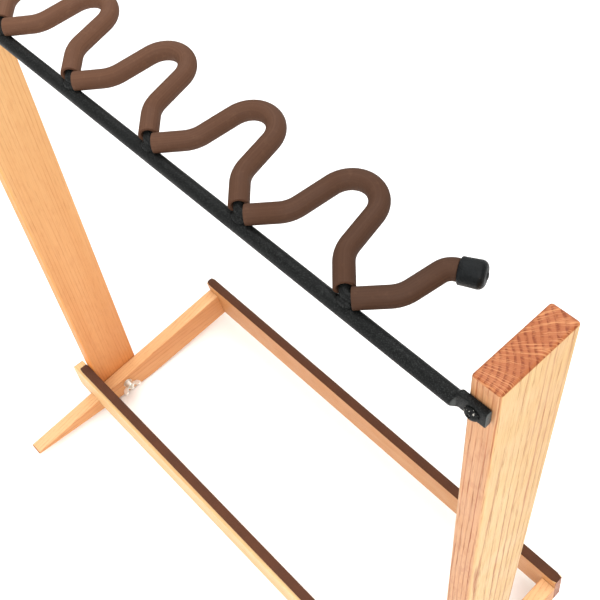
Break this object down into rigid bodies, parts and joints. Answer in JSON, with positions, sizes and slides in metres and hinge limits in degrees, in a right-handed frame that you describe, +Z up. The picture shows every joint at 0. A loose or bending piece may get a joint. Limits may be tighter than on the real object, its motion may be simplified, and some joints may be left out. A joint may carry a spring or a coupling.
{
  "type": "folding guitar stand",
  "caption": "Folding wooden floor rack for a row of guitars, with padded rails, a sleeved steel neck bar and feet that fold up.",
  "frame": {"origin": "on the floor, under the centre of the stand's bounding box", "axes": "+Z up, +X to the stand's left as its user sees it from behind, -Y towards the front, where the guitars are put in"},
  "size_m": [0.6616, 0.3326, 0.717],
  "materials": {
    "oak": "satin clear coat, fine grain along each piece",
    "black_steel": "finely textured black powder coat",
    "brown_tubing": "matte soft tubing",
    "black_rubber": "matte moulded rubber",
    "pad": "matte soft strip",
    "dowel": "plain, hidden",
    "zinc": "bright zinc plating"
  },
  "bodies": {
    "upright_frame": {"upright_left": "oak", "upright_right": "oak", "top_bar": "black_steel", "bar_screw_left": "black_steel", "bar_screw_right": "black_steel", "neck_rod": "black_steel", "weld_1": "black_steel", "weld_2": "black_steel", "weld_3": "black_steel", "weld_4": "black_steel", "weld_5": "black_steel", "weld_6": "black_steel", "sleeve_1": "brown_tubing", "sleeve_2": "brown_tubing", "sleeve_3": "brown_tubing", "sleeve_4": "brown_tubing", "sleeve_5": "brown_tubing", "sleeve_6": "brown_tubing", "sleeve_7": "brown_tubing", "end_cap_left": "black_rubber", "end_cap_right": "black_rubber", "rear_rail": "oak", "rear_pad": "pad", "rail_dowel_1": "dowel", "rail_dowel_2": "dowel", "rail_dowel_3": "dowel", "rail_dowel_4": "dowel", "pivot_bolt_left": "zinc", "pivot_bolt_right": "zinc"},
    "foot_frame": {"foot_left": "oak", "foot_right": "oak", "front_rail": "oak", "front_pad": "pad", "front_rail_screw_1": "zinc", "front_rail_screw_2": "zinc", "front_rail_screw_3": "zinc", "front_rail_screw_4": "zinc", "washer_left": "zinc", "washer_right": "zinc"},
    "wing_nut_left": {"wing_nut_left": "zinc"},
    "wing_nut_right": {"wing_nut_right": "zinc"}
  },
  "joints": [
    {"name": "foot_fold", "type": "hinge", "parent": "upright_frame", "child": "foot_frame", "pos_m": [0, 0.0189, 0.024], "axis": [-1, 0, 0], "range_deg": [0, 82]},
    {"name": "wing_nut_left_turn", "type": "hinge", "parent": "upright_frame", "child": "wing_nut_left", "pos_m": [0.2785, 0.0189, 0.024], "axis": [1, 0, 0], "continuous": true},
    {"name": "wing_nut_right_turn", "type": "hinge", "parent": "upright_frame", "child": "wing_nut_right", "pos_m": [-0.2785, 0.0189, 0.024], "axis": [1, 0, 0], "continuous": true}
  ]
}
